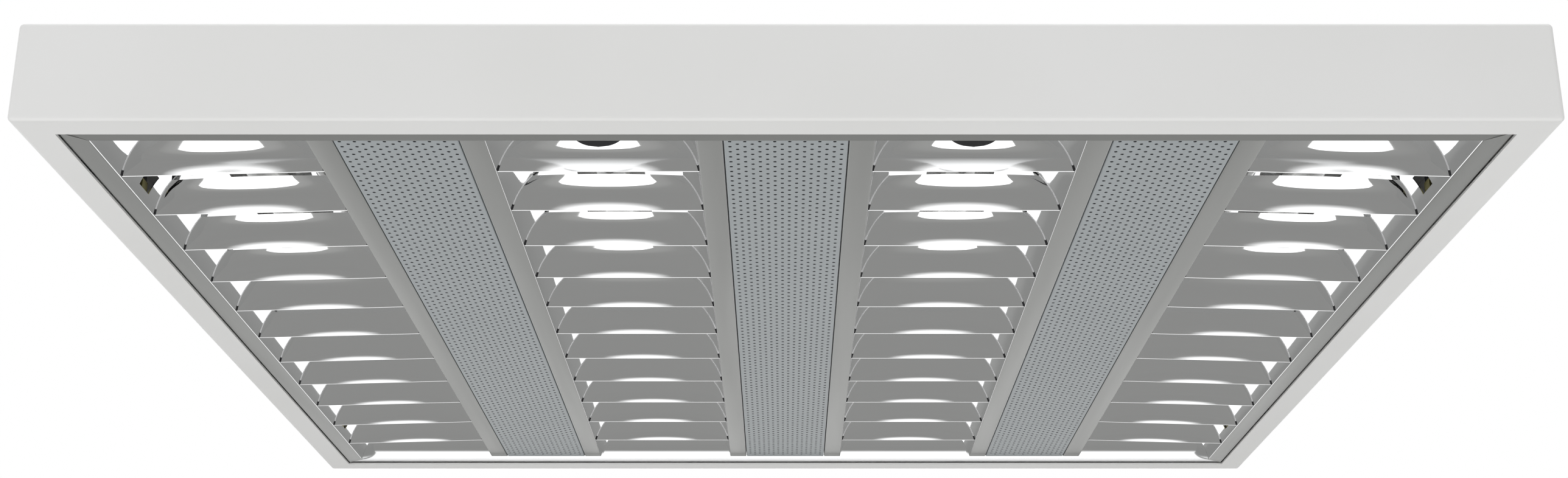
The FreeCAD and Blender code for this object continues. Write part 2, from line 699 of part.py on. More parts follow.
def make_hinge_pins():
    body = new_body("hinge_pins")
    pin = across(body, "pin", "-catch_place")
    circle(pin, "hinge_x", "hinge_z", "hinge_pin_radius")
    both_places(body, [pad(body, pin, "hinge_pin_length", symmetric=True)])


def make_louvre_ears():
    """A pair of ears at each hinge, standing on the louvre's left strip."""
    body = new_body("louvre_ears")
    features = []
    for end, side in ENDS:
        place = "-catch_place + %d * ear_place" % side
        ear = across(body, "ear_" + end, place)
        rectangle(ear, ("hinge_x - ear_radius", "strip_top"), ("hinge_x + ear_radius", "hinge_z"))
        crown = across(body, "crown_" + end, place)
        circle(crown, "hinge_x", "hinge_z", "ear_radius")
        foot = across(body, "foot_" + end, place)
        rectangle(foot, ("hinge_x - ear_radius", "strip_top"),
                  ("hinge_x + ear_radius", "strip_top + louvre_ear_sheet"))
        bore = across(body, "bore_" + end, "-catch_place")
        circle(bore, "hinge_x", "hinge_z", "hinge_pin_radius + hinge_clearance / 2")
        outward = side > 0
        features += [pad(body, ear, "louvre_ear_sheet", backward=outward),
                     pad(body, crown, "louvre_ear_sheet", backward=outward),
                     pad(body, foot, "ear_foot", backward=outward),
                     pocket(body, bore, "ear_place + 2 * louvre_ear_sheet", backward=not outward)]
    both_places(body, features)


def make_catch_keepers():
    """The ledges on the tray's right wall that the catches' noses rest on."""
    body = new_body("catch_keepers")
    plate = make_plate(body, 1)
    ledge = across(body, "ledge", "-catch_place")
    rectangle(ledge, ("louvre_edge + ledge_clear", "ledge_height - ledge_sheet"),
              ("inside", "ledge_height"))
    both_places(body, [plate, pad(body, ledge, "plate_width", symmetric=True)])


def make_catch(end, side):
    """A spring leaf with a nose. It turns about the bend at its foot."""
    body = new_body("catch_leaf_" + end)
    line = [("leaf_x", "strip_top + leaf_foot_rise + leaf_gap"), ("leaf_x", "nose_low"),
            ("leaf_x + nose_reach", "nose_place"), ("leaf_x", "nose_high"),
            ("leaf_x - leaf_tail", "leaf_top")]
    back = [(x + " + leaf_sheet", z) for x, z in reversed(line)]
    leaf = across(body, "leaf")
    outline(leaf, line + back)
    pad(body, leaf, "leaf_width", symmetric=True)
    body.setExpression("Placement.Base.y", bound("%d * catch_place" % side))


def make_catch_feet():
    body = new_body("catch_feet")
    foot = across(body, "foot", "-catch_place")
    heel = "leaf_x + leaf_sheet"
    outline(foot, [(heel + " - leaf_foot_length", "strip_top"), (heel, "strip_top"),
                   (heel, "strip_top + leaf_foot_rise"), ("leaf_x", "strip_top + leaf_foot_rise"),
                   ("leaf_x", "strip_top + leaf_sheet"),
                   (heel + " - leaf_foot_length", "strip_top + leaf_sheet")])
    both_places(body, [pad(body, foot, "leaf_width", symmetric=True)])
    heads = new_body("catch_rivets")
    head = sketch(heads, "head", "XY_Plane", "strip_top + leaf_sheet")
    circle(head, "leaf_x + leaf_sheet - leaf_foot_length / 2 - leaf_sheet", "-catch_place",
           "rivet_radius")
    both_places(heads, [pad(heads, head, "rivet_head")])


def make_bracket_rivets():
    """Two rivet heads on the plate of each hinge and each keeper."""
    body = new_body("bracket_rivets")
    features = []
    for name, hand in (("left", -1), ("right", 1)):
        faces = sketch(body, name, "YZ_Plane", "%d * (inside - plate_sheet)" % hand)
        for side in (-1, 1):
            circle(faces, "-catch_place + %d * rivet_spacing / 2" % side,
                   "(arm_low + arm_high) / 2 + rivet_radius", "rivet_radius")
        features.append(pad(body, faces, "rivet_head", backward=hand > 0))
    both_places(body, features)


# ---------------------------------------------------------------- wiring

def wire_along(corners):
    """A round wire along straight runs joined by tangent arcs."""
    points = [FreeCAD.Vector(*corner) for corner in corners]
    edges = []
    start = points[0]
    for before, corner, after in zip(points, points[1:], points[2:]):
        into = (corner - before).normalize()
        out = (after - corner).normalize()
        reach = 0.45 * min((corner - before).Length, (after - corner).Length)
        radius = reach / math.tan(into.getAngle(out) / 2)
        enter = corner - into * reach
        leave = corner + out * reach
        towards = (out - into).normalize()
        middle = corner + towards * (math.hypot(radius, reach) - radius)
        edges += [Part.LineSegment(start, enter).toShape(), Part.Arc(enter, middle, leave).toShape()]
        start = leave
    edges.append(Part.LineSegment(start, points[-1]).toShape())
    path = Part.Wire(edges)
    ring = Part.makeCircle(value("wire_radius"), points[0], (points[1] - points[0]).normalize())
    solid = path.makePipeShell([Part.Wire(ring)], True, False)
    section = math.pi * value("wire_radius") ** 2
    print("wire: volume over section times length", round(solid.Volume / section / path.Length, 4))
    return solid


def make_wiring():
    """Wires from the terminal block to the ballasts, and from them to the lampholders."""
    z = value("ceiling - wire_drop")
    mains = []
    lamp = []
    for hand in (-1, 1):
        ballast = value("%d * lamp_pitch" % hand)
        side = value("%d * terminal_width / 2" % hand)
        inner = value("%d * (lamp_pitch - ballast_width / 2)" % hand)
        mains.append(straight_wire(side, inner, value("terminal_place"), value("ceiling - mains_drop")))
        for end, way in ENDS:
            holder = way * value("holder_face + holder_depth / 2")
            for turn in (-1, 1):
                x = ballast + turn * value("lamp_wire_offset")
                reach = value("(lamp_pitch - holder_width) / 2")
                lamp.append(wire_along([(x, way * value("ballast_length / 2"), z), (x, holder, z),
                                        (ballast + turn * reach, holder, z)]))
    for label, wires in (("mains_wiring", mains), ("lamp_wiring", lamp)):
        feature = doc.addObject("Part::Feature", label)
        feature.Label = label
        feature.Shape = Part.makeCompound(wires)
        feature.Placement = FreeCAD.Placement()


def straight_wire(start, finish, y, z):
    way = 1 if finish > start else -1
    return Part.makeCylinder(value("wire_radius"), abs(finish - start), FreeCAD.Vector(start, y, z),
                             FreeCAD.Vector(way, 0, 0))


# ---------------------------------------------------------------- assembly

make_tray()
make_grommet()
make_terminal_block()
make_ballast("ballast_left", -1)
make_ballast("ballast_right", 1)
make_studs()
for end, side in ENDS:
    make_rail(end, side)
    make_holders(end, side)
    make_end_frame(end, side)
    make_catch(end, side)
for lamp in LAMPS:
    make_lamp(lamp)
    make_blades(lamp)
    for name, edge, hand, outer in bay_walls(lamp):
        make_side_reflector(lamp, name, edge, hand, outer)
make_panel("left", -1)
make_panel("centre", 0)
make_panel("right", 1)
make_hinge_brackets()
make_hinge_pins()
make_louvre_ears()
make_catch_keepers()
make_catch_feet()
make_bracket_rivets()
make_wiring()
doc.recompute()

# ---------------------------------------------------------------- checks and files

faults = []
for item in doc.Objects:
    if "Invalid" in item.State or "Error" in item.State:
        faults.append("%s failed: %s" % (item.Name, item.State))
    elif item.TypeId == "PartDesign::Pocket":
        shapes = (item.Shape, item.BaseFeature.Shape)
        if any(shape.isNull() for shape in shapes):
            faults.append("%s has no shape" % item.Name)
        elif shapes[0].Volume > shapes[1].Volume - 1e-3:
            faults.append("%s cuts nothing" % item.Name)
if faults:
    raise RuntimeError("; ".join(faults))

os.makedirs("parts", exist_ok=True)
pieces = [item for item in doc.Objects
          if item.TypeId == "PartDesign::Body" or item.Name in ("mains_wiring", "lamp_wiring")]
for piece in pieces:
    if piece.Shape.isNull() or not piece.Shape.isValid():
        raise RuntimeError("%s has no valid shape" % piece.Label)
    piece.Shape.exportStep("parts/%s.step" % piece.Label)
print(len(pieces), "nodes,", sum(len(piece.Shape.Solids) for piece in pieces), "solids")
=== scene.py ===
import math

import bmesh
import bpy
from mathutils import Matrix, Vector


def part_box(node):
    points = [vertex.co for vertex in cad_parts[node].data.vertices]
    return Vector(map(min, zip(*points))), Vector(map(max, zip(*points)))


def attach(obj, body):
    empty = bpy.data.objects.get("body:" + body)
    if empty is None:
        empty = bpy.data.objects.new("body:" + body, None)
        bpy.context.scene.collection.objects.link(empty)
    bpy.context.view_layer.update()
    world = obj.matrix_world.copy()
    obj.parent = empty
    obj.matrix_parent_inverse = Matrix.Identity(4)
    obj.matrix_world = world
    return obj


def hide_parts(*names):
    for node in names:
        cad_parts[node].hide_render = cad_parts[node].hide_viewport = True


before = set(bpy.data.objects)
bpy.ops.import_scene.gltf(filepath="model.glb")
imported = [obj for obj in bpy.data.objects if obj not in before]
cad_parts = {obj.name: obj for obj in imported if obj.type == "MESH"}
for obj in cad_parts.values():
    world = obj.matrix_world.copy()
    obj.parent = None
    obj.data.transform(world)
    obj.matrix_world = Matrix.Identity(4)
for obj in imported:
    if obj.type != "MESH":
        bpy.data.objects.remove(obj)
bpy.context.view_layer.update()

# ---------------------------------------------------------------- sizes, in metres

MM = 0.001
TOLERANCE = 1e-9
SHARP_FROM = math.radians(35)
DOWNWARD = -0.9
LAMPS = (1, 2, 3, 4)
MIDDLE = sum(LAMPS) / len(LAMPS)
OUTER_WALLS = ((1, 1), (4, -1))

# The louvre's bent sheets, its bays and the gaps between its sheets
LOUVRE_SHEET = 0.5 * MM
LOUVRE_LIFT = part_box("side_reflector_1_left")[0][2]
INNER_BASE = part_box("panel_centre")[0][2]
LOUVRE_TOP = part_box("louvre_end_near")[1][2]
LOUVRE_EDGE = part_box("louvre_end_near")[1][0]
LAMP_PITCH = 154.8 * MM
BAY_WIDTH = 83.9 * MM
BAY_SLOT = 30 * MM
BAY_EDGE = (LAMPS[-1] - MIDDLE) * LAMP_PITCH + BAY_WIDTH / 2
WALL_REACH = (BAY_WIDTH - BAY_SLOT) / 2
WALL_CURVE = 30 * MM
WALL_ROWS = 20
STRIP_WIDTH = 10.3 * MM
FLANGE_HEIGHT = 5 * MM
FOLD = 0.7 * MM
FOLD_STEPS = 4
FLAT_BELOW = 0.9 * FOLD
END_PLACE = 275.3 * MM
END_LEAN = 8 * MM
END_CURVE = 60 * MM
UNDERSIDE = INNER_BASE + 0.2 * MM
SEAM = 0.12 * MM

# The cross blades
BLADE_COUNT = 11
BLADE_PITCH = 46.8 * MM
BLADE_REACH = BLADE_PITCH * (BLADE_COUNT - 1) / 2
BLADE_LIFT = 0.8 * MM
BLADE_HEIGHT = 14.5 * MM
BLADE_EDGE = 0.6 * MM
BLADE_SHEET = 0.3 * MM
BLADE_TIP = 0.02 * MM
BLADE_COLUMNS = 40
BLADE_ROWS = 16

# How much a blade's face leans out for its height: at its foot, which leans more beside the
# walls, and from its waist up. CRESTS has, row by row from the nearest, what is added at the top
# of the face and the share of its height where that starts.
NEAR_FOOT = 0.214
FAR_FOOT = 0.147
SIDE_STEEPER = 0.128
NEAR_WAIST = 0.29
FAR_WAIST = 0.28
WAIST_SHARE = 0.4
CRESTS = ((0.37, 0.42), (0.43, 0.54), (0.34, 0.62), (0.28, 0.67), (0.22, 0.72), (0, 1))
CREST_RAMP = 0.23
SLOPE_STEPS = 24

# The dark patch laid on the nearest blades, which is painted shade, and the thin strips laid up the
# blades' faces beside the walls, painted shade at their feet and painted highlights above: each
# strip's lower and upper end on the blade, its width, and how far it stands off
SHADE_PATCH_REACH = 10.8 * MM
SHADE_PATCH_DEPTH = 5 * MM
SHADE_PATCH_OUT = 0.06 * MM
SHADE_PATCH_TIP = 0.01 * MM
SHADE_PATCH_STEPS = 12
SLOT_SHADE_STRIP = (0.1 * MM, 2.3 * MM, 0.55 * MM, 0.08 * MM)
HIGHLIGHT_STRIP = (2.3 * MM, BLADE_HEIGHT, 0.3 * MM, 0.05 * MM)
STRIP_SINK = 0.1 * MM
STRIP_ROWS = 6

# The windows in the outer reflectors, with their columns in the reflectors' grid of faces, and
# the boxes behind them: outward from the bay's edge, along from the window's middle, and up
CATCH_PLACE = 208 * MM
WINDOW_WIDTH = 13 * MM
WINDOW_COLUMNS = (1, 4)
WINDOW_LOW = 6 * MM
WINDOW_HIGH = 13.5 * MM
CASE_BOX = ((0.4 * MM, 1.2 * MM), (-7.5 * MM, 7.5 * MM), (4.5 * MM, 14.5 * MM))
SPRING_BOX = ((-0.6 * MM, 0.4 * MM), (-1 * MM, 5.9 * MM), (6.3 * MM, 10.9 * MM))

# The perforated panels
PANEL_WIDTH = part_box("panel_centre")[1][0] * 2
PLAIN_EDGE = 1.0 * MM
HOLE_COLUMNS = 16
HOLE_PITCH = 5.46 * MM
HOLE_RADIUS = 0.72 * MM
HOLE_SIDES = 12

# The floor, which is white beyond these places along Y, the surround and the camera
FLOOR_REACH = 30
FLOOR_HEIGHT = -1.2
FLOOR_FADE = (2.2, 2.7)
FLOOR_NEAR_FADE = (-11, -8)
WORLD_LIGHT = 0.56
WORLD_WHITE = 1.0
CAMERA_PLACE = (-0.0008, -1.0205, -0.3005)
CAMERA_TILT = 19.27
CAMERA_LENS = 46.88
CAMERA_SENSOR = 36
CAMERA_NEAR = 0.05


# ---------------------------------------------------------------- meshes

def add_object(name, mesh):
    """A mesh's object, linked to the scene."""
    piece = bpy.data.objects.new(name, mesh)
    bpy.context.scene.collection.objects.link(piece)
    return piece


def mesh_from(name, points, faces, materials, indices=None, smooth=True):
    """An object from points and faces, with a material index for each face."""
    mesh = bpy.data.meshes.new(name)
    mesh.from_pydata([tuple(point) for point in points], [], faces)
    for material in materials:
        mesh.materials.append(material)
    if indices:
        mesh.polygons.foreach_set("material_index", indices)
    if smooth:
        mesh.polygons.foreach_set("use_smooth", [True] * len(faces))
    mesh.update()
    return add_object(name, mesh)


def apply_modifiers(piece):
    """Makes the piece's modifiers part of its mesh."""
    graph = bpy.context.evaluated_depsgraph_get()
    mesh = bpy.data.meshes.new_from_object(piece.evaluated_get(graph))
    piece.modifiers.clear()
    piece.data = mesh


def thicken(piece, thickness):
    """Gives a surface its sheet's thickness, inward from its faces."""
    solid = piece.modifiers.new("sheet", "SOLIDIFY")
    solid.thickness = thickness
    solid.offset = -1
    apply_modifiers(piece)


def sharpen(piece):
    """Keeps the folds' edges sharp in a smoothly shaded mesh."""
    mesh = piece.data
    work = bmesh.new()
    work.from_mesh(mesh)
    for edge in work.edges:
        edge.smooth = len(edge.link_faces) == 2 and edge.calc_face_angle(0) < SHARP_FROM
    work.to_mesh(mesh)
    work.free()


def arc_offset(height, base, top, reach, radius):
    """How far a hollow face leans from its lower edge at a height."""
    chord = math.hypot(reach, top - base)
    drop = math.sqrt(radius ** 2 - (chord / 2) ** 2)
    centre_x = reach / 2 + (top - base) / chord * drop
    centre_z = (base + top) / 2 - reach / chord * drop
    return centre_x - math.sqrt(radius ** 2 - (height - centre_z) ** 2)


def wall_offset(height, base):
    """How far a side reflector leans over its bay at a height."""
    return arc_offset(height, base, LOUVRE_TOP, WALL_REACH, WALL_CURVE)


def end_offset(height):
    """How far an end reflector leans over its bays at a height."""
    return arc_offset(height, LOUVRE_LIFT, LOUVRE_TOP, END_LEAN, END_CURVE)


def spread(low, high, count):
    """Even steps from low to high."""
    return [low + (high - low) * step / count for step in range(count + 1)]


def bay_centre(bay):
    """The middle of a bay, across the part."""
    return (bay - MIDDLE) * LAMP_PITCH


def rises(bay, hand):
    """The base height of a bay's left wall, where hand is +1, or of its right wall."""
    return LOUVRE_LIFT if (bay, hand) in OUTER_WALLS else INNER_BASE


# ---------------------------------------------------------------- materials

GRAIN = 300
GRAIN_DEPTH = 0.03 * MM
UNEVEN = (0.85, 1.15)


def principled(name, colour, metallic=0.0, roughness=0.5):
    """A material with these uniform values on the shader's own sockets."""
    material = bpy.data.materials.new(name)
    material.use_nodes = True
    shader = material.node_tree.nodes["Principled BSDF"]
    shader.inputs["Base Color"].default_value = (*colour, 1)
    shader.inputs["Metallic"].default_value = metallic
    shader.inputs["Roughness"].default_value = roughness
    return material


def shader_of(material):
    """A material's main shader."""
    return material.node_tree.nodes["Principled BSDF"]


def node(material, kind, **settings):
    """A new node of this kind in a material."""
    made = material.node_tree.nodes.new(kind)
    for setting, choice in settings.items():
        setattr(made, setting, choice)
    return made


def link(material, source, target):
    """Joins two sockets of a material's nodes."""
    material.node_tree.links.new(source, target)


def object_place(material, stretch=(1, 1, 1)):
    """Object coordinates, stretched, as a texture's place."""
    place = node(material, "ShaderNodeTexCoord")
    mapping = node(material, "ShaderNodeMapping")
    mapping.inputs["Scale"].default_value = stretch
    link(material, place.outputs["Object"], mapping.inputs["Vector"])
    return mapping.outputs["Vector"]


def noise(material, scale, stretch=(1, 1, 1), detail=2.0):
    """Noise over the piece, mostly between 0.3 and 0.7."""
    texture = node(material, "ShaderNodeTexNoise")
    texture.inputs["Scale"].default_value = scale
    texture.inputs["Detail"].default_value = detail
    link(material, object_place(material, stretch), texture.inputs["Vector"])
    return texture.outputs["Fac"]


def ranged(material, source, low, high, from_low=0.3, from_high=0.7):
    """A number from the source, mapped between low and high."""
    span = node(material, "ShaderNodeMapRange")
    span.inputs["From Min"].default_value = from_low
    span.inputs["From Max"].default_value = from_high
    span.inputs["To Min"].default_value = low
    span.inputs["To Max"].default_value = high
    link(material, source, span.inputs["Value"])
    return span.outputs["Result"]


def blended(material, amount, first, second):
    """A colour between two, by an amount from 0 to 1. The node's colour sockets go by number."""
    mix = node(material, "ShaderNodeMix", data_type="RGBA")
    mix.inputs[6].default_value = (*first, 1)
    mix.inputs[7].default_value = (*second, 1)
    link(material, amount, mix.inputs[0])
    return mix.outputs[2]


def bumped(material, source, strength, distance):
    """Gives a material's surface this relief."""
    bump = node(material, "ShaderNodeBump")
    bump.inputs["Strength"].default_value = strength
    bump.inputs["Distance"].default_value = distance
    link(material, source, bump.inputs["Height"])
    link(material, bump.outputs["Normal"], shader_of(material).inputs["Normal"])


def powder_coat():
    """Satin white powder coat with a fine orange peel."""
    material = principled("white_powder_coat", (0.8, 0.8, 0.79), roughness=0.42)
    tone = ranged(material, noise(material, 9), 0, 1)
    link(material, blended(material, tone, (0.79, 0.79, 0.78), (0.82, 0.82, 0.815)),
         shader_of(material).inputs["Base Color"])
    bumped(material, noise(material, 900, detail=1.0), 0.12, 0.00006)
    return material


def mirror():
    """Bright anodised reflector aluminium, with faint rolling lines."""
    material = principled("mirror_aluminium", (0.9, 0.905, 0.91), metallic=1.0, roughness=0.04)
    rough = ranged(material, noise(material, 60, (1, 0.05, 1)), 0.025, 0.06)
    link(material, rough, shader_of(material).inputs["Roughness"])
    return material


def satin():
    """The reflectors' flat strips, in the same aluminium with a satin look."""
    material = principled("strip_aluminium", (0.232, 0.236, 0.228), metallic=0.35, roughness=0.34)
    rough = ranged(material, noise(material, 80, (1, 0.04, 1)), 0.28, 0.36)
    link(material, rough, shader_of(material).inputs["Roughness"])
    return material


def grey_panel():
    """Pale grey paint on the perforated strips."""
    material = principled("panel_grey", (0.32, 0.35, 0.365), roughness=0.4)
    tone = ranged(material, noise(material, 12), 0, 1)
    link(material, blended(material, tone, (0.312, 0.342, 0.357), (0.328, 0.358, 0.373)),
         shader_of(material).inputs["Base Color"])
    return material


def plain(name, colour, metallic, roughness):
    """A finish with a slightly uneven gloss and grain."""
    material = principled(name, colour, metallic, roughness)
    rough = ranged(material, noise(material, GRAIN / 4), *(roughness * share for share in UNEVEN))
    link(material, rough, shader_of(material).inputs["Roughness"])
    bumped(material, noise(material, GRAIN), 0.1, GRAIN_DEPTH)
    return material


def lamp_glass():
    """White phosphor behind clear glass."""
    material = principled("lamp_glass", (0.9, 0.9, 0.88), roughness=0.12)
    tone = ranged(material, noise(material, 20), 0, 1)
    link(material, blended(material, tone, (0.88, 0.88, 0.86), (0.92, 0.92, 0.9)),
         shader_of(material).inputs["Base Color"])
    return material


WHITE = powder_coat()
MIRROR = mirror()
SATIN = satin()
PANEL = grey_panel()
BRASS = plain("spring_brass", (0.62, 0.47, 0.2), 1.0, 0.28)
PIN_BRASS = plain("pin_brass", (0.72, 0.56, 0.27), 1.0, 0.25)
ZINC = plain("steel_zinc", (0.62, 0.63, 0.64), 1.0, 0.36)
GLASS = lamp_glass()
CAP = plain("lamp_cap_metal", (0.75, 0.76, 0.77), 1.0, 0.3)
HOLDER = plain("holder_plastic", (0.78, 0.78, 0.76), 0.0, 0.38)
ROTOR = plain("rotor_plastic", (0.7, 0.71, 0.7), 0.0, 0.4)
BALLAST = plain("ballast_case", (0.5, 0.51, 0.52), 1.0, 0.42)
TERMINAL = plain("terminal_plastic", (0.6, 0.58, 0.5), 0.0, 0.45)
WIRE = plain("wire_insulation", (0.68, 0.68, 0.66), 0.0, 0.4)
# Near black, as painted shade: the strips at the blades' feet, the patch on the nearest blades and
# the cases behind the windows
SHADE_BLACK = plain("slot_shadow", (0.01, 0.01, 0.012), 0.0, 0.7)
# A darker, greener brass than the catch's, for the springs seen through the windows
DARK_BRASS = plain("dark_greenish_brass", (0.3, 0.27, 0.1), 0.8, 0.35)
# Near black on the holes' walls: painted shade in the perforations
HOLE_SHADE = plain("hole_wall_shade", (0.05, 0.053, 0.055), 0.0, 0.6)
# Near white: painted highlights, up the blades' faces beside the walls and on the far end sheet's
# underside
PAINTED_HIGHLIGHT = plain("painted_highlight", (0.85, 0.85, 0.86), 0.6, 0.35)
RUBBER = plain("black_rubber", (0.02, 0.02, 0.02), 0.0, 0.6)

FINISHES = {
    "tray": WHITE, "cable_grommet": RUBBER, "terminal_block": TERMINAL,
    "terminal_screws": ZINC, "ballast_left": BALLAST, "ballast_right": BALLAST,
    "weld_studs": ZINC, "stud_nuts": ZINC, "holder_rail_near": WHITE,
    "holder_rail_far": WHITE, "lampholders_near": HOLDER, "lampholders_far": HOLDER,
    "hinge_brackets": ZINC, "catch_keepers": ZINC, "bracket_rivets": ZINC,
    "mains_wiring": WIRE, "lamp_wiring": WIRE, "hinge_pins": ZINC,
    "louvre_ears": ZINC, "catch_feet": BRASS, "catch_rivets": ZINC,
    "catch_leaf_near": BRASS, "catch_leaf_far": BRASS,
    "louvre_end_near": MIRROR, "louvre_end_far": MIRROR,
    "panel_left": PANEL, "panel_centre": PANEL, "panel_right": PANEL,
}
for lamp in LAMPS:
    FINISHES[f"lamp_tube_{lamp}"] = GLASS
    FINISHES[f"lamp_caps_{lamp}"] = CAP
    FINISHES[f"lamp_pins_{lamp}"] = PIN_BRASS
    FINISHES[f"holder_rotors_{lamp}"] = ROTOR
    FINISHES[f"cross_blades_{lamp}"] = MIRROR
    FINISHES[f"side_reflector_{lamp}_left"] = MIRROR
    FINISHES[f"side_reflector_{lamp}_right"] = MIRROR

for name, finish in FINISHES.items():
    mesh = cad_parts[name].data
    mesh.materials.clear()
    mesh.materials.append(finish)


# ---------------------------------------------------------------- cross blades

def wall_height(bay, x):
    """The louvre's lower edge at a place across a bay, whose two edges may differ in height."""
    low = rises(bay, 1)
    high = rises(bay, -1)
    share = (x - bay_centre(bay)) / BAY_WIDTH + 0.5
    return low + (high - low) * share


def blade_half(height, across, place):
    """Half of a blade's thickness at a height, at a place across from -1 to 1, of the blade at a
    place along Y. Its faces are hollow, and most of all in the middle."""
    along = place / (2 * BLADE_REACH) + 0.5
    foot = NEAR_FOOT + (FAR_FOOT - NEAR_FOOT) * along + SIDE_STEEPER * across ** 2
    waist = NEAR_WAIST + (FAR_WAIST - NEAR_WAIST) * along
    row = min(round((place + BLADE_REACH) / BLADE_PITCH), len(CRESTS) - 1)
    crest, crest_low = CRESTS[row]
    crest *= 1 - across ** 2
    half = BLADE_EDGE / 2
    step = BLADE_HEIGHT / SLOPE_STEPS
    for index in range(SLOPE_STEPS):
        share = (index + 0.5) / SLOPE_STEPS
        slope = foot + (waist - foot) * min(1, share / WAIST_SHARE)
        slope += crest * min(1, max(0, (share - crest_low) / CREST_RAMP))
        half += slope * min(step, max(0, height - index * step))
    return half


def grid(faces, start, columns, rows, flipped):
    """Faces of a grid of points that starts at this point, row by row."""
    wide = columns + 1
    for row in range(rows):
        for column in range(columns):
            corner = start + row * wide + column
            quad = (corner, corner + 1, corner + wide + 1, corner + wide)
            faces.append(quad[::-1] if flipped else quad)


def bridge(faces, first, second, count, flipped):
    """Faces between two runs of points."""
    for step in range(count):
        quad = (first + step, first + step + 1, second + step + 1, second + step)
        faces.append(quad[::-1] if flipped else quad)


def blade_point(bay, place, side, column, height, inward):
    """A point on a blade's face, or on the inside of its sheet."""
    base = wall_height(bay, bay_centre(bay) + column * BAY_WIDTH / 2)
    half_width = BAY_WIDTH / 2 - wall_offset(base + BLADE_LIFT + height, base)
    half = blade_half(height, column, place)
    if inward:
        half = max(half - inward, BLADE_TIP)
    x = bay_centre(bay) + column * (half_width - SEAM)
    return (x, place + side * half, base + BLADE_LIFT + height)


def blade_places():
    """Where the blades are along Y."""
    return [(blade - (BLADE_COUNT - 1) / 2) * BLADE_PITCH for blade in range(BLADE_COUNT)]


def make_blades(bay):
    """The row of folded blades in a bay, hollow from above, with two hollow faces each."""
    points = []
    faces = []
    wide = BLADE_COLUMNS + 1
    columns = spread(-1, 1, BLADE_COLUMNS)
    outer_rows = spread(0, BLADE_HEIGHT, BLADE_ROWS)
    inner_rows = spread(2 * BLADE_EDGE, BLADE_HEIGHT, BLADE_ROWS)
    for place in blade_places():
        starts = {}
        for side in (-1, 1):
            for layer, rows, inward in (("out", outer_rows, 0), ("in", inner_rows, BLADE_SHEET)):
                starts[side, layer] = len(points)
                for height in rows:
                    for column in columns:
                        points.append(blade_point(bay, place, side, column, height, inward))
                grid(faces, starts[side, layer], BLADE_COLUMNS, BLADE_ROWS,
                     (side > 0) == (layer == "out"))
            last = BLADE_ROWS * wide
            bridge(faces, starts[side, "out"] + last, starts[side, "in"] + last,
                   BLADE_COLUMNS, side > 0)
        bridge(faces, starts[-1, "out"], starts[1, "out"], BLADE_COLUMNS, True)
    piece = mesh_from(f"blades_{bay}", points, faces, [MIRROR])
    sharpen(piece)
    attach(piece, "louvre")
    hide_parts(f"cross_blades_{bay}")


def add_box(points, faces, corners):
    """A six-sided piece from its lower four corners and its upper four."""
    start = len(points)
    points.extend(corners)
    for quad in ((3, 2, 1, 0), (4, 5, 6, 7), (0, 1, 5, 4), (1, 2, 6, 5), (2, 3, 7, 6), (3, 0, 4, 7)):
        faces.append(tuple(start + corner for corner in quad))


def make_shade_patch(bay):
    """A dark half-round patch laid on the top of a bay's nearest blade: painted shade, where that
    part of the blade looks black.
    """
    points = []
    faces = []
    place = -BLADE_REACH
    for row in range(SHADE_PATCH_STEPS + 1):
        sink = SHADE_PATCH_DEPTH * row / SHADE_PATCH_STEPS
        reach = SHADE_PATCH_REACH * math.sqrt(1 - (sink / SHADE_PATCH_DEPTH) ** 2)
        for column in spread(-1, 1, 2 * SHADE_PATCH_STEPS):
            x = column * max(reach, SHADE_PATCH_TIP)
            height = BLADE_HEIGHT - sink
            half = blade_half(height, x / (BAY_WIDTH / 2), place) + SHADE_PATCH_OUT
            points.append((bay_centre(bay) + x, place - half, INNER_BASE + BLADE_LIFT + height))
    grid(faces, 0, 2 * SHADE_PATCH_STEPS, SHADE_PATCH_STEPS, False)
    piece = mesh_from(f"blade_shade_patch_{bay}", points, faces, [SHADE_BLACK])
    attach(piece, "louvre")


def add_strip(points, faces, bay, hand, place, side, strip):
    """A thin strip up one face of a blade, beside the bay's right wall, or the left with hand -1."""
    low, high, width, out = strip
    base = rises(bay, -hand)
    edge = bay_centre(bay) + hand * BAY_WIDTH / 2
    heights = spread(low, high, STRIP_ROWS)
    for lower, upper in zip(heights, heights[1:]):
        corners = []
        for height in (lower, upper):
            z = base + BLADE_LIFT + height
            wall = edge - hand * wall_offset(z, base)
            half = blade_half(height, 1, place)
            inner = place + side * (half - STRIP_SINK)
            outer = place + side * (half + out)
            for x, y in ((0, inner), (width, inner), (width, outer), (0, outer)):
                corners.append((wall - hand * x, y, z))
        add_box(points, faces, corners)


def make_slots(bay):
    """Thin dark strips at the blades' feet beside the walls, painted shade for the slot openings,
    and bright ones above, painted highlights.
    """
    for name, strip, finish in (("slots", SLOT_SHADE_STRIP, SHADE_BLACK), ("seam_highlights", HIGHLIGHT_STRIP, PAINTED_HIGHLIGHT)):
        points = []
        faces = []
        for hand in (-1, 1):
            for place in blade_places():
                for side in (-1, 1):
                    add_strip(points, faces, bay, hand, place, side, strip)
        piece = mesh_from(f"blade_{name}_{bay}", points, faces, [finish], smooth=False)
        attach(piece, "louvre")


for bay in LAMPS:
    make_blades(bay)
    make_shade_patch(bay)
    make_slots(bay)


# ---------------------------------------------------------------- side reflectors

def bend(centre, radius, start, end):
    """Points round a fold, between two angles in degrees."""
    points = []
    for angle in spread(start, end, FOLD_STEPS):
        turn = math.radians(angle)
        points.append((centre[0] + radius * math.cos(turn), centre[1] + radius * math.sin(turn)))
    return points


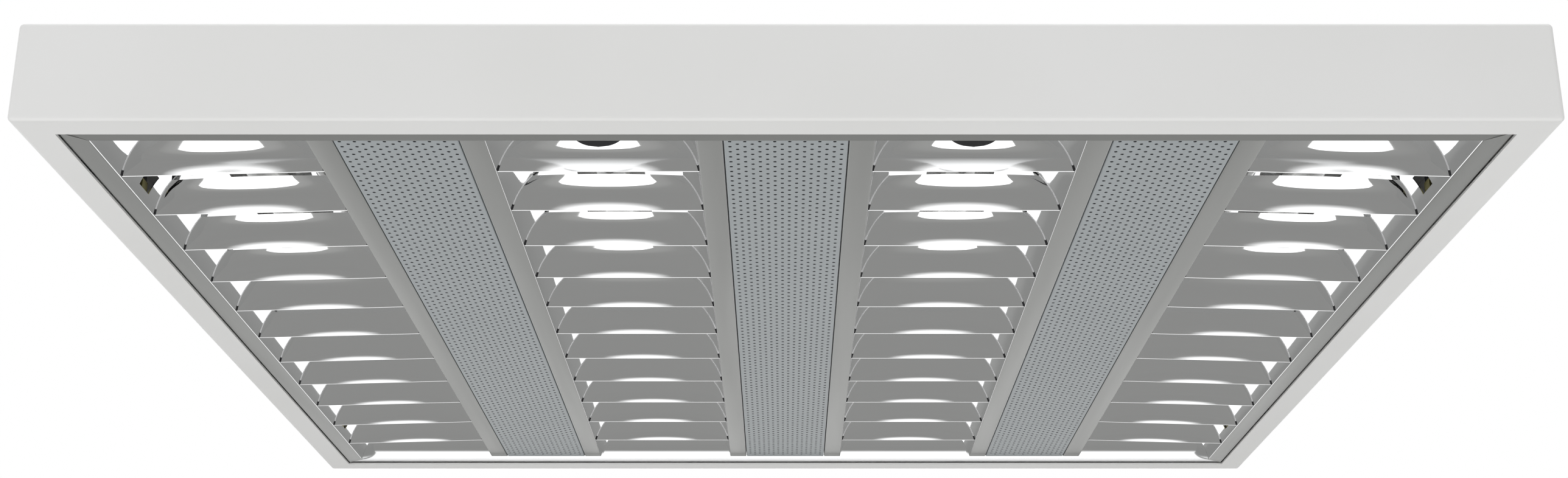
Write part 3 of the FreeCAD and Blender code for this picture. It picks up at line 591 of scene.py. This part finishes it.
def reflector_profile(base, width, outer):
    """Across a bent sheet, with the bay at +X and its edge at 0: wall, fold and strip, and an
    inner sheet's fold and flange."""
    section = []
    heights = sorted(spread(base + FOLD, LOUVRE_TOP, WALL_ROWS) + [WINDOW_LOW, WINDOW_HIGH])
    for height in reversed(heights):
        section.append((wall_offset(height, base), height))
    lip = wall_offset(base + FOLD, base)
    section += bend((lip - FOLD, base + FOLD), FOLD, 0, -90)[1:]
    if outer:
        section.append((-width, base))
        return section
    section += bend((FOLD - width, base + FOLD), FOLD, -90, -180)
    section.append((-width, base + FLANGE_HEIGHT))
    return section


def end_reach(x, z, outer):
    """How far along Y a reflector's sheet goes at a point of its profile, with its edge at 0."""
    reach = END_PLACE - SEAM - max(0, end_offset(max(z, LOUVRE_LIFT)))
    if outer and x < 0:
        reach = END_PLACE - SEAM - x * (LOUVRE_EDGE - END_PLACE) / (LOUVRE_EDGE - BAY_EDGE)
    return reach


def make_reflector(bay, name, hand):
    """One side reflector. Hand is +1 for the bay's left wall and -1 for its right."""
    outer = (bay, hand) in OUTER_WALLS
    base = rises(bay, hand)
    width = LOUVRE_EDGE - BAY_EDGE if outer else STRIP_WIDTH
    edge = bay_centre(bay) - hand * BAY_WIDTH / 2
    section = reflector_profile(base, width, outer)
    half_window = WINDOW_WIDTH / 2
    cuts = [-CATCH_PLACE - half_window, -CATCH_PLACE + half_window, 0,
            CATCH_PLACE - half_window, CATCH_PLACE + half_window]
    points = []
    for x, z in section:
        reach = end_reach(x, z, outer)
        for y in [-reach] + cuts + [reach]:
            points.append((edge + hand * x, y, z))
    faces = []
    finishes = []
    wide = len(cuts) + 2
    for row in range(len(section) - 1):
        x, z = section[row]
        next_z = section[row + 1][1]
        flat = min(z, next_z) < base + FLAT_BELOW
        open_row = outer and WINDOW_LOW - TOLERANCE <= next_z and z <= WINDOW_HIGH + TOLERANCE
        for column in range(wide - 1):
            if open_row and column in WINDOW_COLUMNS:
                continue
            corner = row * wide + column
            quad = (corner, corner + 1, corner + wide + 1, corner + wide)
            faces.append(quad if hand < 0 else quad[::-1])
            finishes.append(int(flat and x <= 0))
    piece = mesh_from(f"reflector_{bay}_{name}", points, faces, [MIRROR, SATIN], finishes)
    thicken(piece, LOUVRE_SHEET)
    sharpen(piece)
    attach(piece, "louvre")
    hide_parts(f"side_reflector_{bay}_{name}")


def make_window_part(name, box, finish):
    """A small box behind each window of the outer reflectors."""
    points = []
    faces = []
    (inner, outer), (first, last), (low, high) = box
    for hand in (-1, 1):
        for side in (-1, 1):
            corners = []
            for z in (low, high):
                for x, y in ((inner, first), (outer, first), (outer, last), (inner, last)):
                    corners.append((hand * (BAY_EDGE + x), side * CATCH_PLACE + y, z))
            add_box(points, faces, corners)
    piece = mesh_from(name, points, faces, [finish], smooth=False)
    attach(piece, "louvre")


# The cases behind the windows are near black: painted shade
make_window_part("window_cases", CASE_BOX, SHADE_BLACK)
make_window_part("window_springs", SPRING_BOX, DARK_BRASS)
for bay in LAMPS:
    make_reflector(bay, "left", 1)
    make_reflector(bay, "right", -1)


def face_down(name, finish):
    """Gives an end sheet's flat underside its own finish."""
    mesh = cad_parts[name].data
    mesh.materials.append(finish)
    for polygon in mesh.polygons:
        if polygon.normal.z < DOWNWARD and polygon.center.z < UNDERSIDE:
            polygon.material_index = 1


# The far end's underside takes the near-white finish, a painted highlight on the same sheet as the
# near end, whose underside takes the strips' satin
face_down("louvre_end_near", SATIN)
face_down("louvre_end_far", PAINTED_HIGHLIGHT)


# ---------------------------------------------------------------- perforated panels

def hole_cell(points, faces, finishes, centre, size, heights):
    """One cell of a perforated sheet: a hole's square surround on both faces, and its wall, which
    takes the near-black second finish as painted shade in the hole.
    """
    start = len(points)
    half_x, half_y = size[0] / 2, size[1] / 2
    rim = ((half_x, 0), (half_x, half_y), (-half_x, half_y),
           (-half_x, 0), (-half_x, -half_y), (half_x, -half_y))
    for z in heights:
        for x, y in rim:
            points.append((centre[0] + x, centre[1] + y, z))
        for step in range(HOLE_SIDES):
            turn = math.tau * step / HOLE_SIDES
            points.append((centre[0] + HOLE_RADIUS * math.cos(turn),
                           centre[1] + HOLE_RADIUS * math.sin(turn), z))
    layer = len(rim) + HOLE_SIDES
    span = HOLE_SIDES // len(rim)
    hole = start + len(rim)
    for corner in range(len(rim)):
        steps = range(corner * span, (corner + 1) * span + 1)
        ring = [hole + step % HOLE_SIDES for step in steps]
        ring += [start + (corner + 1) % len(rim), start + corner]
        faces.append(tuple(ring))
        faces.append(tuple(point + layer for point in reversed(ring)))
    for step in range(HOLE_SIDES):
        after = (step + 1) % HOLE_SIDES
        faces.append((hole + step, hole + step + layer, hole + after + layer, hole + after))
    finishes += [0] * 2 * len(rim) + [1] * HOLE_SIDES


def hole_column(points, faces, finishes, x, pitch_x, shift, reach, heights):
    """One column of holes along a panel, with plain sheet at both its ends."""
    count = int(2 * reach / HOLE_PITCH) - 1
    run = count * HOLE_PITCH
    low_end = -run / 2 + shift - HOLE_PITCH / 4
    for row in range(count):
        y = low_end + (row + 0.5) * HOLE_PITCH
        hole_cell(points, faces, finishes, (x, y), (pitch_x, HOLE_PITCH), heights)
    left = x - pitch_x / 2
    right = x + pitch_x / 2
    for first, last in ((-reach, low_end), (low_end + run, reach)):
        corners = []
        for z in heights:
            corners += [(left, first, z), (right, first, z), (right, last, z), (left, last, z)]
        add_box(points, faces, corners)
        finishes += [0] * 6


def panel_edge(points, faces, centre, hand, reach, heights):
    """A panel's plain edge with its flange. Hand is +1 for its right edge."""
    bottom, top = heights
    half = PANEL_WIDTH / 2
    section = [(half - PLAIN_EDGE, bottom)]
    section += bend((half - FOLD, bottom + FOLD), FOLD, -90, 0)
    section += [(half, bottom + FLANGE_HEIGHT), (half - LOUVRE_SHEET, bottom + FLANGE_HEIGHT)]
    section += bend((half - FOLD, bottom + FOLD), FOLD - LOUVRE_SHEET, 0, -90)
    section.append((half - PLAIN_EDGE, top))
    start = len(points)
    for y in (-reach, reach):
        points.extend((centre + hand * x, y, z) for x, z in section)
    size = len(section)
    for step in range(size):
        after = (step + 1) % size
        quad = (start + step, start + after, start + size + after, start + size + step)
        faces.append(quad if hand < 0 else quad[::-1])
    near = tuple(range(start, start + size))
    far = tuple(range(start + 2 * size - 1, start + size - 1, -1))
    for face in (near, far):
        faces.append(face if hand > 0 else face[::-1])


def make_perforated(name, centre):
    """A perforated strip between two bays, a shallow channel of thin sheet."""
    points = []
    faces = []
    finishes = []
    heights = (INNER_BASE, INNER_BASE + LOUVRE_SHEET)
    reach = END_PLACE - SEAM
    pitch_x = (PANEL_WIDTH - 2 * PLAIN_EDGE) / HOLE_COLUMNS
    for column in range(HOLE_COLUMNS):
        x = centre + (column + 0.5 - HOLE_COLUMNS / 2) * pitch_x
        shift = (column % 2) * HOLE_PITCH / 2
        hole_column(points, faces, finishes, x, pitch_x, shift, reach, heights)
    for hand in (-1, 1):
        panel_edge(points, faces, centre, hand, reach, heights)
    finishes += [0] * (len(faces) - len(finishes))
    piece = mesh_from(f"perforated_{name}", points, faces, [PANEL, HOLE_SHADE], finishes, smooth=False)
    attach(piece, "louvre")
    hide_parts(f"panel_{name}")


for name, gap in (("left", -1), ("centre", 0), ("right", 1)):
    make_perforated(name, gap * LAMP_PITCH)


# ---------------------------------------------------------------- floor, lights and camera

def make_floor():
    """A plain floor, grey under the part, and white far behind it and far in front."""
    corners = [(x * FLOOR_REACH, y * FLOOR_REACH, FLOOR_HEIGHT)
               for x, y in ((-1, -1), (1, -1), (1, 1), (-1, 1))]
    floor = mesh_from("floor", corners, [(0, 1, 2, 3)], [], smooth=False)
    material = principled("floor_grey", (0.42, 0.42, 0.41), roughness=0.9)
    shader = shader_of(material)
    tone = ranged(material, noise(material, 1.5), 0, 1)
    link(material, blended(material, tone, (0.415, 0.415, 0.405), (0.425, 0.425, 0.415)),
         shader.inputs["Base Color"])
    split = node(material, "ShaderNodeSeparateXYZ")
    link(material, object_place(material), split.inputs["Vector"])
    behind = ranged(material, split.outputs["Y"], 0, 1, *FLOOR_FADE)
    before = ranged(material, split.outputs["Y"], 1, 0, *FLOOR_NEAR_FADE)
    both = node(material, "ShaderNodeMath", operation="MAXIMUM")
    link(material, behind, both.inputs[0])
    link(material, before, both.inputs[1])
    link(material, both.outputs[0], shader.inputs["Emission Strength"])
    shader.inputs["Emission Color"].default_value = (1, 1, 1, 1)
    floor.data.materials.append(material)


def make_world():
    """A white surround to look at, and a plain soft light from it."""
    world = bpy.data.worlds.new("studio")
    bpy.context.scene.world = world
    world.use_nodes = True
    tree = world.node_tree
    tree.nodes.clear()
    path = tree.nodes.new("ShaderNodeLightPath")
    seen = path.outputs["Is Camera Ray"]
    for ray in ("Is Glossy Ray", "Is Transmission Ray"):
        either = tree.nodes.new("ShaderNodeMath")
        either.operation = "MAXIMUM"
        tree.links.new(seen, either.inputs[0])
        tree.links.new(path.outputs[ray], either.inputs[1])
        seen = either.outputs[0]
    mix = tree.nodes.new("ShaderNodeMixShader")
    tree.links.new(seen, mix.inputs[0])
    for socket, strength in ((1, WORLD_LIGHT), (2, WORLD_WHITE)):
        background = tree.nodes.new("ShaderNodeBackground")
        background.inputs["Color"].default_value = (1, 1, 1, 1)
        background.inputs["Strength"].default_value = strength
        tree.links.new(background.outputs[0], mix.inputs[socket])
    output = tree.nodes.new("ShaderNodeOutputWorld")
    tree.links.new(mix.outputs[0], output.inputs["Surface"])


def add_light(name, place, aim, size, power, seen=False):
    """A soft rectangular light, which mirrors see only where seen is true."""
    lamp = bpy.data.lights.new(name, "AREA")
    lamp.shape = "RECTANGLE"
    lamp.size, lamp.size_y = size
    lamp.energy = power
    light = bpy.data.objects.new(name, lamp)
    bpy.context.scene.collection.objects.link(light)
    light.location = place
    light.visible_glossy = seen
    light.rotation_euler = (Vector(aim) - Vector(place)).to_track_quat("-Z", "Y").to_euler()


def make_camera():
    """The photograph's camera, fitted to the part's corners and edges."""
    lens = bpy.data.cameras.new("photo")
    lens.lens = CAMERA_LENS
    lens.sensor_width = CAMERA_SENSOR
    lens.clip_start = CAMERA_NEAR
    camera = bpy.data.objects.new("photo", lens)
    bpy.context.scene.collection.objects.link(camera)
    camera.location = CAMERA_PLACE
    camera.rotation_euler = (math.radians(90 + CAMERA_TILT), 0, 0)
    bpy.context.scene.camera = camera


make_floor()
make_world()
add_light("key", place=(-1.2, -2.2, 0.3), aim=(0, 0, 0), size=(1.6, 1.6), power=8)
add_light("under", place=(0, -1, -1.15), aim=(0, -1, 0), size=(5, 1.5), power=27, seen=True)
add_light("top", place=(0, -0.3, 2.2), aim=(0, 0, 0), size=(2, 2), power=25)
make_camera()
bpy.context.scene.view_settings.view_transform = "Standard"
